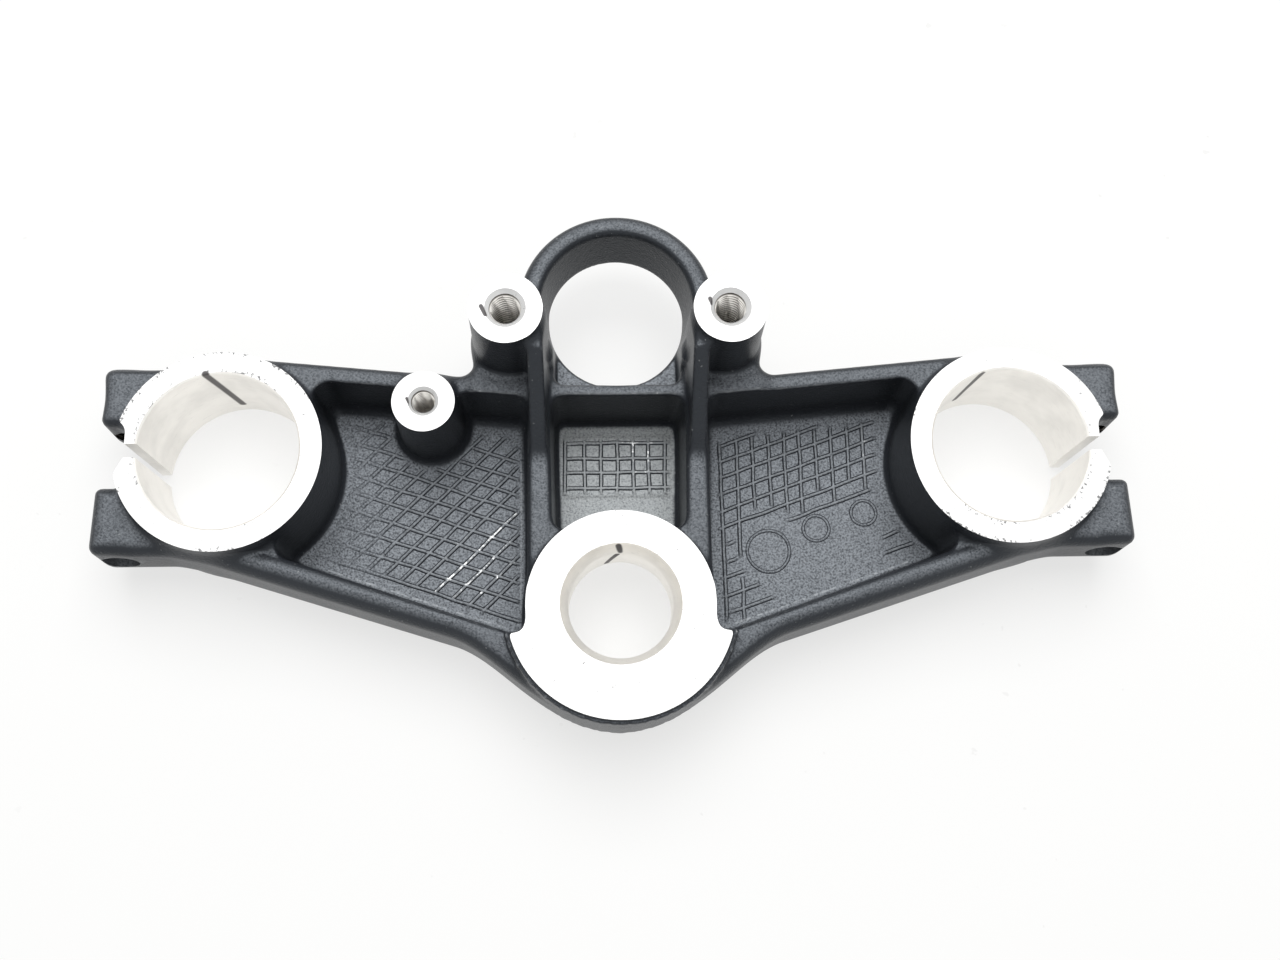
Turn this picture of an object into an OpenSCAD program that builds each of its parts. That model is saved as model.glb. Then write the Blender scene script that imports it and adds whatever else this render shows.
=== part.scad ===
/* [Fork clamps] */
// Distance between the two fork tube axes
fork_pitch = 184; // [176:1:196]
// Distance from the stem axis forward to the line of the fork axes
fork_offset = 36.6; // [34:0.2:39]
// Diameter of the fork tube that each clamp grips
fork_d = 37; // [35:0.5:39]
// Height of a clamp from its resting face to its machined face
clamp_h = 28.3; // [26:0.1:31]
// Wall of the clamp ring at the machined face
clamp_wall = 5.2; // [4.4:0.1:6]
// Width of the slit that lets a clamp close
slit_w = 3.3; // [2:0.1:5]

/* [Pinch ears] */
// Distance from the fork axis outward to the bottom of the notch between the ears
notch_r = 21.1; // [20.6:0.1:22]
// Amount by which the rear side of the notch flares outward
notch_flare = 3; // [1:0.1:3.4]
// Reach of the ears from the fork axis outward
ear_reach = 30.1; // [29.4:0.1:32]
// Amount by which the near ear reaches further out than the far one
ear_taper = 0.7; // [0:0.1:1.2]
// Amount by which the ears stand out from the sides of the notch in the ring
ear_lip = 0.5; // [0.2:0.1:1]
// Width of the notch between the two ears of a clamp
notch_w = 14.6; // [11:0.1:17]
// Distance from the fork axis to the flat face that the bolt head seats on
ear_near = 23.7; // [22.5:0.1:24.5]
// Distance from the fork axis to the far end of the threaded ear
ear_far = 22.8; // [21.5:0.1:24]
// Height of the top of the ears above the resting face
ear_top = 24.8; // [23:0.1:27]
// Height of the underside of the ears above the resting face
ear_bottom = 7.2; // [5:0.1:9]
// Distance from the fork axis outward to the pinch bolt axis
pinch_offset = 24.2; // [23.5:0.1:25]
// Height of the pinch bolt axis above the resting face
pinch_z = 15.4; // [14:0.1:17]
// Clearance hole for the pinch bolt
pinch_clear_d = 8.6; // [8.2:0.1:9.2]
// Tapping hole for the pinch bolt
pinch_tap_d = 6.8; // [6:0.1:7.2]
// Depth of the threaded hole in the far ear
pinch_tap_depth = 11; // [8:0.5:12]

/* [Arms] */
// Radius of an arm's end round the fork axis
arm_end_r = 25; // [24.6:0.1:26.5]
// Distance from the stem axis back to where the rear edges of the two arms cross
arm_rear = 18.8; // [17:0.1:21]
// Distance from the stem axis forward to where the front edges of the two arms cross
arm_front = 53; // [52:0.1:54.5]
// Height of the rims round the pockets
rim_h = 23.4; // [22:0.1:24.5]
// Gap between the painted skin and the resting plane
skin_gap = 0.6; // [0.3:0.1:1.2]
// Radius of the rounded edge of the rims
rim_round = 2.4; // [1.5:0.1:3]
// Radius of the rounded edge of the smooth side
skin_round = 5.5; // [4:0.1:6]

/* [Pockets] */
// Height of the pocket floors above the resting plane
floor_z = 5.4; // [4.6:0.1:6.5]
// Thickness of the rear rim between a side pocket and the arm's edge
rear_rim = 6.2; // [5.5:0.1:7.5]
// Thickness of the front rim between a side pocket and the arm's edge
front_rim = 4.8; // [4.4:0.1:6]
// Draft of the pocket walls, in degrees
pocket_draft = 2.5; // [1:0.1:3.5]
// Radius between the pocket walls and the floor
floor_round = 2.2; // [1:0.1:2.6]
// Corner radius of the pockets in plan
pocket_corner = 4.2; // [4:0.1:5]

/* [Stem boss] */
// Diameter of the bore for the steering stem
stem_bore_d = 24; // [20:0.5:26]
// Height of the machined face of the stem boss
stem_h = 28.8; // [27:0.1:31]
// Radius of the round rear part of the machined face
stem_face_r = 26.2; // [25.4:0.1:27]
// Radius of the post that stands between the pockets
stem_post_r = 21.4; // [21:0.1:22.4]
// Depth of the lead-in cone of the stem bore
stem_lead_depth = 3.4; // [1:0.1:5]
// Width of the lead-in cone of the stem bore
stem_lead_w = 1.8; // [0.5:0.1:2.5]
// Diameter of the recess for the stem nut on the smooth side
nut_recess_d = 36; // [34:0.5:37]
// Thickness of metal left between the nut recess and the machined face
stem_land = 14; // [10:0.1:18]

/* [Key switch ring] */
// Distance from the stem axis forward to the ring axis
ring_y = 72; // [70.5:0.1:73.5]
// Inner radius of the ring at its top
ring_in_r = 18.4; // [17.8:0.1:19]
// Wall of the ring
ring_wall = 5.6; // [4.6:0.1:6.4]
// Radius of the key hole through the skin
key_hole_r = 16.4; // [15.5:0.1:16.8]
// Height of the ring's top
ring_top = 28; // [26:0.1:31]
// Height of the underside of the head that carries the ring
head_bottom = 13.6; // [12:0.1:15.5]
// Thickness of the lip round the key hole
key_lip = 2.2; // [1.5:0.1:3.5]
// Width of the square mouth behind the ring
mouth_w = 29.6; // [28:0.2:31]
// Distance from the stem axis forward to the rear wall of the mouth
mouth_y = 53.4; // [52.8:0.1:54.4]

/* [Key switch bosses] */
// Distance between the axes of the two tall bosses
boss_pitch = 51; // [50:0.2:54]
// Distance from the stem axis forward to the tall bosses
boss_y = 64.8; // [63:0.1:66.5]
// Height of the tall bosses
boss_h = 44; // [41:0.5:48]
// Radius of the machined face of a tall boss
boss_r = 8.4; // [7.8:0.1:9]
// Tapping hole of a tall boss
boss_tap_d = 6.8; // [6:0.1:7.2]
// Depth of the threaded hole in a tall boss
boss_tap_depth = 20; // [12:0.5:24]
// Distance between the outer faces of the two long ribs
rib_span = 41.4; // [40.4:0.2:42.4]
// Thickness of a long rib where it meets the stem boss
rib_rear_w = 4.8; // [4:0.1:5.4]
// Thickness of a long rib where it meets a tall boss
rib_front_w = 3.4; // [3:0.1:4]
// Distance from the stem axis forward to where the ribs start to rise
rib_rise_y = 34.5; // [30:0.5:40]

/* [Cable guide boss] */
// Distance from the stem axis to the left to the small boss
guide_x = 45.4; // [42:0.2:49]
// Distance from the stem axis forward to the small boss
guide_y = 48.1; // [47:0.1:49.5]
// Height of the small boss
guide_h = 28; // [26:0.1:30]
// Radius of the machined face of the small boss
guide_r = 7.3; // [6.5:0.1:8]
// Tapping hole of the small boss
guide_tap_d = 5; // [4.2:0.1:5.2]
// Depth of the threaded hole in the small boss
guide_tap_depth = 15; // [8:0.5:18]

/* [Hidden] */
$fn = 96;

// Angle between two neighbouring points of a lofted arc
arc_step = 10;
// Points on a rounded edge
edge_steps = 4;
// Overlap of cutting shapes past the faces that they cut
cut = 1;
// Height that all cutting shapes reach
sky = boss_h + 10;
// Depth by which one form is sunk into the next, so that the two join
sunk = 0.1;
// Metal that the forms have beyond a flat face, before the face is cut
stock = 0.4;
// Break of a machined edge
edge_break = 0.5;
// Height of the casting's widest line, where the mould parts
parting_z = 8;
// Draft of the outer walls, in degrees
wall_draft = 1.5;
// Countersink of the threaded holes, as a radius beyond the hole
countersink = 1.4;
// Radius of the circles that close the arms at the middle
arm_middle_r = 8;
// Radius of the hollow between the stem boss and an arm's rear edge
waist_r = 14;
// Radius of the hollow between the head and an arm's front edge
neck_r = 4;
// Rounding of an ear in plan, and of its upper and lower edges
ear_corner = 3.4;
ear_round = 2.8;
ear_belly = 3.1;

fork_x = fork_pitch / 2;
fork_r = fork_d / 2;
clamp_r = fork_r + clamp_wall;
boss_x = boss_pitch / 2;
rib_out = rib_span / 2;
ring_out_r = ring_in_r + ring_wall;
land_z = stem_h - stem_land;
seat_z = head_bottom + key_lip;
// Half of the side of a box that trims the whole part
reach = fork_pitch;

// Slopes of the edges of the right arm, from tangents to the circle round the fork axis
rear_run = [fork_x, fork_offset + arm_rear];
front_run = [fork_x, fork_offset - arm_front];
rear_angle = atan2(rear_run.y, rear_run.x) - asin(arm_end_r / norm(rear_run));
front_angle = atan2(front_run.y, front_run.x) + asin(arm_end_r / norm(front_run));
function rear_edge(x) = -arm_rear + x * tan(rear_angle);
function front_edge(x) = arm_front + x * tan(front_angle);

// A loft is drawn round a list of circles [x, y, r], counter-clockwise, at each height of a profile
// of [z, inset] pairs, where the inset makes every circle smaller by the same amount.

// Direction of the outline's normal between one circle and the next
function normal_between(a, b) =
    let (d = norm([b.x - a.x, b.y - a.y]))
    atan2(b.y - a.y, b.x - a.x) - acos((a.z - b.z) / d);

// Turn from one direction to another, from 0 to 360 degrees
function turn(from, to) = (to - from) - 360 * floor((to - from) / 360);

// Points of the outline round the circles, made smaller by an inset
function outline(circles, inset) =
    [for (i = [0:len(circles) - 1])
        let (c = circles[i],
             before = circles[(i + len(circles) - 1) % len(circles)],
             after = circles[(i + 1) % len(circles)],
             from = normal_between(before, c),
             sweep = turn(from, normal_between(c, after)),
             steps = max(1, ceil(sweep / arc_step)))
        for (k = [0:steps])
            let (a = from + sweep * k / steps)
            [c.x + (c.z - inset) * cos(a), c.y + (c.z - inset) * sin(a)]];

module loft(circles, profile) {
    rings = [for (p = profile) [for (q = outline(circles, p[1])) [q.x, q.y, p[0]]]];
    n = len(rings[0]);
    m = len(rings);
    sides = [for (j = [0:m - 2]) for (i = [0:n - 1])
        let (a = j * n + i, b = j * n + (i + 1) % n)
        each [[a, a + n, b], [b, a + n, b + n]]];
    polyhedron(
        points = [for (ring = rings) each ring],
        faces = concat([[for (i = [0:n - 1]) i]], sides, [[for (i = [n - 1:-1:0]) (m - 1) * n + i]]));
}

// Profile of a cast solid from z0 to z1: rounded at both ends and widest at the parting line
function cast_profile(z0, z1, r0, r1) =
    let (flat = [
        for (k = [0:edge_steps]) let (a = 90 * k / edge_steps)
            [z0 + r0 * (1 - cos(a)), r0 * (1 - sin(a))],
        for (k = [0:edge_steps]) let (a = 90 * k / edge_steps)
            [z1 - r1 * (1 - sin(a)), r1 * (1 - cos(a))]])
    [for (p = flat) [p[0], p[1] + abs(p[0] - parting_z) * tan(wall_draft)]];

// Profile of a pocket cutter: rounded at the floor, drafted up to the rim, then straight up
function pocket_profile(z0, z1, r) = [
    for (k = [0:edge_steps]) let (a = 90 * k / edge_steps, z = z0 + r * (1 - cos(a)))
        [z, r * (1 - sin(a)) + (z1 - z) * tan(pocket_draft)],
    [z1, 0],
    [sky, 0]];

module both_sides() {
    children();
    mirror([1, 0, 0]) children();
}

module at_fork() {
    both_sides() translate([fork_x, fork_offset, 0]) children();
}

// A cone with its machined face on top, drafted like the pocket walls, with a sloping foot
module post(face_r, face_z) {
    from_z = floor_z - cut;
    foot_r = face_r + (face_z - floor_z) * tan(pocket_draft);
    translate([0, 0, from_z])
        cylinder(h = face_z - from_z, r1 = face_r + (face_z - from_z) * tan(pocket_draft), r2 = face_r);
    translate([0, 0, floor_z - sunk])
        cylinder(h = floor_round, r1 = foot_r + floor_round / 2, r2 = foot_r - floor_round / 2);
}

module at_guide() {
    translate([-guide_x, guide_y, 0]) children();
}

// One arm, from the middle of the bridge to the round end that carries the clamp
module arm() {
    loft([
        [0, rear_edge(0) + arm_middle_r / cos(rear_angle), arm_middle_r],
        [fork_x, fork_offset, arm_end_r],
        [0, front_edge(0) - arm_middle_r / cos(front_angle), arm_middle_r]],
        cast_profile(skin_gap - stock, rim_h + stock, skin_round, rim_round));
}

// Hollow corner where the round stem boss runs into the rear edge of an arm
module waist() {
    r = stem_face_r + rim_round / 2;
    away = arm_rear * cos(rear_angle) + waist_r;
    along = sqrt(pow(r + waist_r, 2) - pow(away, 2));
    translate([0, 0, parting_z / 2]) rotate(rear_angle) linear_extrude(rim_h - parting_z) difference() {
        polygon([[0, 0], [along, 0], [along, -away], [0, 0] + [along, -away] * r / (r + waist_r)]);
        translate([along, -away]) circle(waist_r);
    }
}

// Hollow corner where the head runs into the front edge of an arm
module neck() {
    x = boss_x + boss_r + neck_r;
    y = front_edge(x) + neck_r / cos(front_angle);
    translate([0, 0, head_bottom + cut]) linear_extrude(rim_h - rim_round - head_bottom) difference() {
        polygon([
            [x - neck_r - cut, y], [x, y],
            [x + neck_r * sin(front_angle), y - neck_r * cos(front_angle)],
            [x, front_edge(x) - cut], [x - neck_r - cut, front_edge(x) - cut]]);
        translate([x, y]) circle(neck_r);
    }
}

// Round rear half of the stem boss, with its cast edge rounded up to the machined face
module stem_rear() {
    r = stem_face_r + rim_round / 2;
    step = rim_round / 2;
    intersection() {
        rotate_extrude() polygon([
            [0, skin_gap - stock],
            for (p = cast_profile(skin_gap - stock, stem_h + stock, skin_round, step)) [r - p[1], p[0]],
            [0, stem_h + stock]]);
        translate([-2 * r, -2 * r, 0]) cube([4 * r, 2 * r + cut, sky]);
    }
}

// Plate between the arms and the key switch ring, under the two tall bosses
module head() {
    r = boss_r + (boss_h - rim_h) * tan(wall_draft);
    loft([
        [-boss_x, arm_front - arm_middle_r, r], [boss_x, arm_front - arm_middle_r, r],
        [boss_x, boss_y, r], [-boss_x, boss_y, r]],
        cast_profile(head_bottom - stock, rim_h + stock, rim_round, rim_round / 2));
}

// Open ring round the key switch, with a rounded top
module key_ring() {
    edge = ring_wall / 4;
    intersection() {
        translate([0, ring_y, 0]) rotate_extrude() polygon([
            [0, head_bottom - 2 * stock],
            for (p = cast_profile(head_bottom - 2 * stock, ring_top, rim_round, edge)) [ring_out_r - p[1], p[0]],
            [0, ring_top]]);
        translate([-2 * ring_out_r, ring_y - ring_out_r / 2, 0]) cube([4 * ring_out_r, 2 * ring_out_r, sky]);
    }
}

module tall_boss() {
    slope = (boss_h - head_bottom) * tan(wall_draft);
    translate([boss_x, boss_y, head_bottom + rim_round / 2])
        cylinder(h = boss_h - head_bottom - rim_round / 2, r1 = boss_r + slope, r2 = boss_r);
}

// Long rib that runs level from the stem boss and then climbs the side of a tall boss
module long_rib() {
    rise_to = boss_h - rim_round;
    intersection() {
        linear_extrude(sky) polygon([
            [rib_out - rib_rear_w, 0], [rib_out, 0],
            [rib_out, boss_y], [rib_out - rib_front_w, boss_y]]);
        rotate([90, 0, 90]) linear_extrude(2 * rib_out) polygon([
            [0, floor_z], [0, rim_h + sunk], [rib_rise_y, rim_h + sunk],
            [boss_y - boss_r, rise_to], [boss_y, rise_to], [boss_y, floor_z]]);
    }
}

// One pocket beside the long ribs
module side_pocket() {
    c = pocket_corner;
    inner = rib_out + c;
    outer = fork_x - arm_end_r + c;
    rear = (rear_rim + c) / cos(rear_angle);
    front = (front_rim + c) / cos(front_angle);
    loft([
        [inner, rear_edge(inner) + rear, c], [outer + c, rear_edge(outer + c) + rear, c],
        [outer - c, front_edge(outer - c) - front, c], [inner, front_edge(inner) - front, c]],
        pocket_profile(floor_z, rim_h, floor_round));
}

// The pocket between the long ribs, from the stem boss to the shelf behind the mouth
module middle_pocket() {
    c = pocket_corner;
    rear = rib_out - rib_rear_w - c;
    front = rib_out - (rib_rear_w + rib_front_w) / 2 - c;
    shelf = mouth_y - 3.1;
    // The rear corners end where they run into the post
    from = c + sqrt(pow(stem_post_r, 2) - pow(rear, 2));
    loft([[-rear, from, c], [rear, from, c], [front, shelf - c, c], [-front, shelf - c, c]],
        pocket_profile(floor_z, rim_h, floor_round));
}

module clamp_ring() {
    post(clamp_r, clamp_h);
    cylinder(h = floor_z, r = clamp_r - edge_break);
}

// Notch that the mould leaves between the ears of the right clamp, seen from its fork axis
module notch() {
    c = ear_corner - edge_break;
    half = notch_w / 2;
    translate([notch_r, 0, -cut]) linear_extrude(sky) {
        polygon([[0, -slit_w / 2], [notch_flare, -half], [ear_reach, -half],
            [ear_reach, half], [c, half], [0, half - c]]);
        translate([c, half - c]) circle(c);
    }
}

// The two ears of the right clamp, seen from its fork axis
module ears() {
    c = ear_corner;
    out = ear_reach - c;
    side = notch_w / 2 - ear_lip + c;
    profile = cast_profile(ear_bottom, ear_top, ear_belly, ear_round);
    loft([[c, -ear_near + c, c], [out, -ear_near + c, c],
        [out - ear_taper, -side, c], [c, -side, c]], profile);
    loft([[c, side, c], [out - ear_taper, side, c],
        [out - ear_taper, ear_far - c, c], [c, ear_far - c - ear_taper, c]], profile);
}

// A round hole with both edges broken
module bore(r, z0, z1) {
    translate([0, 0, z0 - cut]) cylinder(h = z1 - z0 + 2 * cut, r = r);
    translate([0, 0, z0 - edge_break]) cylinder(h = 2 * edge_break, r1 = r + 2 * edge_break, r2 = r);
    translate([0, 0, z1 - edge_break]) cylinder(h = 2 * edge_break, r1 = r, r2 = r + 2 * edge_break);
}

// A blind tapping hole below a face, with a drill point and a countersink
module tapped(r, depth) {
    translate([0, 0, -depth]) cylinder(h = depth + cut, r = r);
    translate([0, 0, -depth - r / 2]) cylinder(h = r / 2, r1 = 0, r2 = r);
    translate([0, 0, -countersink]) cylinder(h = 2 * countersink, r1 = r, r2 = r + 2 * countersink);
}

// Slit and pinch bolt hole of the right clamp, seen from its fork axis
module pinch_cuts() {
    translate([0, -slit_w / 2, -cut]) cube([ear_reach, slit_w, clamp_h + 2 * cut]);
    translate([pinch_offset, 0, pinch_z]) rotate([-90, 0, 0]) {
        translate([0, 0, -ear_near - cut])
            cylinder(h = ear_near + cut + notch_w / 2 + sunk, d = pinch_clear_d);
        cylinder(h = notch_w / 2 + pinch_tap_depth, d = pinch_tap_d);
    }
}

module stem_bore() {
    r = stem_bore_d / 2;
    translate([0, 0, -cut]) cylinder(h = stem_h + 2 * cut, r = r);
    translate([0, 0, stem_h - stem_lead_depth])
        cylinder(h = 2 * stem_lead_depth, r1 = r, r2 = r + 2 * stem_lead_w);
    translate([0, 0, -cut]) cylinder(h = land_z + cut, d = nut_recess_d);
    translate([0, 0, stem_h]) cylinder(h = cut, r = stem_face_r + rim_round);
}

// Space for the key switch: round towards the front, square towards the stem
module key_space() {
    c = pocket_corner / 2 + edge_break;
    half = mouth_w / 2;
    slope = (ring_in_r - key_hole_r) / (ring_top - seat_z);
    translate([0, ring_y, 0]) {
        translate([0, 0, head_bottom - cut]) cylinder(h = key_lip + cut + sunk, r = key_hole_r);
        translate([0, 0, seat_z - cut])
            cylinder(h = ring_top - seat_z + 2 * cut, r1 = key_hole_r - slope * cut, r2 = ring_in_r + slope * cut);
    }
    translate([0, 0, seat_z]) linear_extrude(sky - seat_z) {
        translate([-half, mouth_y + c]) square([mouth_w, ring_y - mouth_y - c]);
        translate([-half + c, mouth_y]) square([mouth_w - 2 * c, ring_y - mouth_y]);
        translate([-half + c, mouth_y + c]) circle(c);
        translate([half - c, mouth_y + c]) circle(c);
    }
}

// Boxes that trim the cast forms to the flat faces of the mould
module above_rims() {
    translate([-reach, -reach, rim_h]) cube([2 * reach, 2 * reach, reach]);
}
module below_skin() {
    translate([-reach, -reach, skin_gap - reach]) cube([2 * reach, 2 * reach, reach]);
}
module below_head() {
    translate([-reach, front_edge(0) + rim_round, head_bottom - reach]) cube([2 * reach, reach, reach]);
}

// The bridge as the mould leaves it: arms, head and stem boss, hollowed by the pockets
module body() {
    difference() {
        union() {
            difference() {
                union() {
                    both_sides() {
                        arm();
                        waist();
                        neck();
                    }
                    head();
                }
                above_rims();
            }
            stem_rear();
        }
        both_sides() side_pocket();
        middle_pocket();
        below_skin();
        below_head();
    }
}

module fork_bridge() {
    color([0.13, 0.135, 0.15]) difference() {
        union() {
            difference() {
                union() {
                    body();
                    at_fork() clamp_ring();
                }
                at_fork() notch();
            }
            at_fork() ears();
            both_sides() {
                long_rib();
                tall_boss();
            }
            key_ring();
            post(stem_post_r, stem_h + 2 * stock);
            at_guide() post(guide_r, guide_h);
        }
        key_space();
        stem_bore();
        at_fork() {
            bore(fork_r, 0, clamp_h);
            pinch_cuts();
        }
        both_sides() translate([boss_x, boss_y, boss_h]) tapped(boss_tap_d / 2, boss_tap_depth);
        at_guide() translate([0, 0, guide_h]) tapped(guide_tap_d / 2, guide_tap_depth);
    }
}

fork_bridge();
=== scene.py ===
import math

import bpy
import numpy as np
from mathutils import Matrix, Vector


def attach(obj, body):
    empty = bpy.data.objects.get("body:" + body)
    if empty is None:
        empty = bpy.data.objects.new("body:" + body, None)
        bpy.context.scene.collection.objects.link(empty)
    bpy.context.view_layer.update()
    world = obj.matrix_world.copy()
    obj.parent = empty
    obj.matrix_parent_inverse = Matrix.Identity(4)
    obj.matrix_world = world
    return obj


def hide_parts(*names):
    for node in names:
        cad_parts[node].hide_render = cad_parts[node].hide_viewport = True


MM = 0.001

# Sizes of the casting, in millimetres. Heights are measured from the face that the part rests on
FORK = np.array([92.0, 36.6])  # axis of the right fork clamp
FORK_R = 18.5                  # its bore
RING_R = 23.7                  # its outside
RING_TOP = 28.3
SLIT = 3.3                     # width of the slit
PINCH = (116.2, 15.4)          # x and height of the pinch bolt
PINCH_R = 4.3
RIM = 23.5                     # height of the walls
SKIN = 0.6                     # cast underside, above the machined one
FLOOR = 5.4                    # floor of the pockets
PATCH = 0.3                    # rise of the patch in the middle pocket
STEM_TOP = 28.8
STEM_R = 27.0                  # painted ledge round the stem
POST_R = 21.4                  # stem post in the pockets
STEM_BORE = 12.0
NUT_R = 18.0                   # recess on the smooth side
NUT_TOP = 14.8
PART_Z = 8.0                   # parting height of the mould
KEY_Y = 72.0
KEY_HOLE = 16.4
KEY_IN = 18.4
KEY_OUT = 23.75
KEY_TOP = 28.2
HEAD_Z = 13.6                  # underside of the head
SEAT_Z = 15.8                  # seat of the key switch
BOSS = (25.5, 64.8)            # right tall boss
BOSS_TOP = 44.0
BOSS_R = 8.4
RIB_TOP = 41.6                 # height that the long ribs climb to
RIB_OUT = 20.7                 # their outer face
GUIDE = (-45.4, 48.1)          # small boss
GUIDE_TOP = 28.0
GUIDE_R = 7.3
M8_PITCH, M6_PITCH = 1.25, 1.0
STOCK = 0.9                    # metal left on a face before it is machined

# Kinds of surface, in the order of the material slots while the mesh is made. RIDGE marks the ridges and the
# pinch holes, which are painted, and finish_surface turns it into PAINT
PAINT, FACED, BORED, THREAD, RIDGE = range(5)
KINDS = [bpy.data.materials.new(name)
         for name in ("satin_paint", "faced_metal", "bored_metal", "cut_thread", "ridge")]


# Distance fields. A field is negative inside the metal, and its unit is the millimetre.

def round_union(a, b, r):
    u = np.maximum(r - a, 0)
    v = np.maximum(r - b, 0)
    return np.maximum(r, np.minimum(a, b)) - np.hypot(u, v)


def round_common(a, b, r):
    u = np.maximum(r + a, 0)
    v = np.maximum(r + b, 0)
    return np.minimum(-r, np.maximum(a, b)) + np.hypot(u, v)


def round_cut(a, b, r):
    return round_common(a, -b, r)


def corner(u, v, r):
    """Two half spaces that meet in an edge of radius r."""
    p = np.maximum(u + r, 0)
    q = np.maximum(v + r, 0)
    return np.minimum(np.maximum(u + r, v + r), 0) + np.hypot(p, q) - r


def disc(x, y, cx, cy, r):
    return np.hypot(x - cx, y - cy) - r


def outline(x, y, corners):
    """Field of a closed outline given as corners (x, y, radius), counter-clockwise."""
    pts = []
    n = len(corners)
    for i in range(n):
        p = np.array(corners[i][:2], float)
        r = corners[i][2]
        a = np.array(corners[i - 1][:2], float) - p
        b = np.array(corners[(i + 1) % n][:2], float) - p
        a /= np.linalg.norm(a)
        b /= np.linalg.norm(b)
        if r <= 0:
            pts.append(p)
            continue
        half = math.acos(max(-1, min(1, float(a @ b)))) / 2
        reach = r / math.tan(half)
        c = p + (a + b) / np.linalg.norm(a + b) * r / math.sin(half)
        s, e = p + a * reach, p + b * reach
        t0 = math.atan2(*(s - c)[::-1])
        t1 = math.atan2(*(e - c)[::-1])
        t1 = t0 + (t1 - t0 + math.pi) % (2 * math.pi) - math.pi
        for k in range(9):
            t = t0 + (t1 - t0) * k / 8
            pts.append(c + r * np.array([math.cos(t), math.sin(t)]))
    pts = np.array(pts)
    best = np.full(np.broadcast(x, y).shape, 1e9)
    inside = np.zeros(best.shape, bool)
    for i in range(len(pts)):
        ax, ay = pts[i]
        bx, by = pts[(i + 1) % len(pts)]
        ex, ey = bx - ax, by - ay
        t = np.clip(((x - ax) * ex + (y - ay) * ey) / (ex * ex + ey * ey + 1e-12), 0, 1)
        best = np.minimum(best, (x - ax - t * ex) ** 2 + (y - ay - t * ey) ** 2)
        cross = (ay > y) != (by > y)
        with np.errstate(divide="ignore", invalid="ignore"):
            at = ax + (y - ay) * ex / (ey if ey else 1e-12)
        inside ^= cross & (x < at)
    return np.where(inside, -1, 1) * np.sqrt(best)


class Field:
    """The casting as a distance field on a grid."""

    def __init__(self, step):
        self.step = step
        self.lo = np.array([-124.0, -30.0, -1.5])
        hi = np.array([124.0, 98.0, 47.0])
        n = np.ceil((hi - self.lo) / step).astype(int) + 1
        ax = [self.lo[i] + step * np.arange(n[i]) for i in range(3)]
        self.x = ax[0][:, None, None].astype(np.float32)
        self.y = ax[1][None, :, None].astype(np.float32)
        self.z = ax[2][None, None, :].astype(np.float32)
        self.X = np.broadcast_to(self.x[:, :, 0], (n[0], n[1]))
        self.Y = np.broadcast_to(self.y[:, :, 0], (n[0], n[1]))

    def slab(self, flat, z0, z1, r0, r1, draft=1.5, part=PART_Z):
        """A flat outline raised from z0 to z1, rounded below and above, and widest at the parting height."""
        z = self.z
        d = flat[:, :, None].astype(np.float32) + np.abs(z - part) * np.float32(math.tan(math.radians(draft)))
        mid = (z0 + np.min(z1)) / 2
        k = int(np.searchsorted(z.ravel(), mid))
        out = np.empty(np.broadcast(d, z).shape, np.float32)
        out[:, :, k:] = corner(d[:, :, k:], z[:, :, k:] - z1, r1)
        out[:, :, :k] = corner(d[:, :, :k], z0 - z[:, :, :k], r0)
        return out

    def hollow(self, flat, z0, r, draft=2.0, at=RIM):
        """A pocket with this outline at its top: open above z0, with a rounded floor."""
        z = self.z
        slope = math.tan(math.radians(draft))
        grow = np.where(z < at, (at - z) * slope, (at - z) * 0.2).astype(np.float32)
        return corner(flat[:, :, None].astype(np.float32) + grow, z0 - z, r)

    def post(self, cx, cy, r, z0, z1, r1, draft=1.0):
        z = self.z
        d = disc(self.X, self.Y, cx, cy, r)[:, :, None].astype(np.float32)
        d = d - (z1 - z) * np.float32(math.tan(math.radians(draft)))
        top = corner(d, z - z1, r1)
        return np.maximum(top, z0 - z)


def both(right):
    """Adds the mirror image of a field that is written for the right side."""
    return np.minimum(right, right[::-1])


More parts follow.
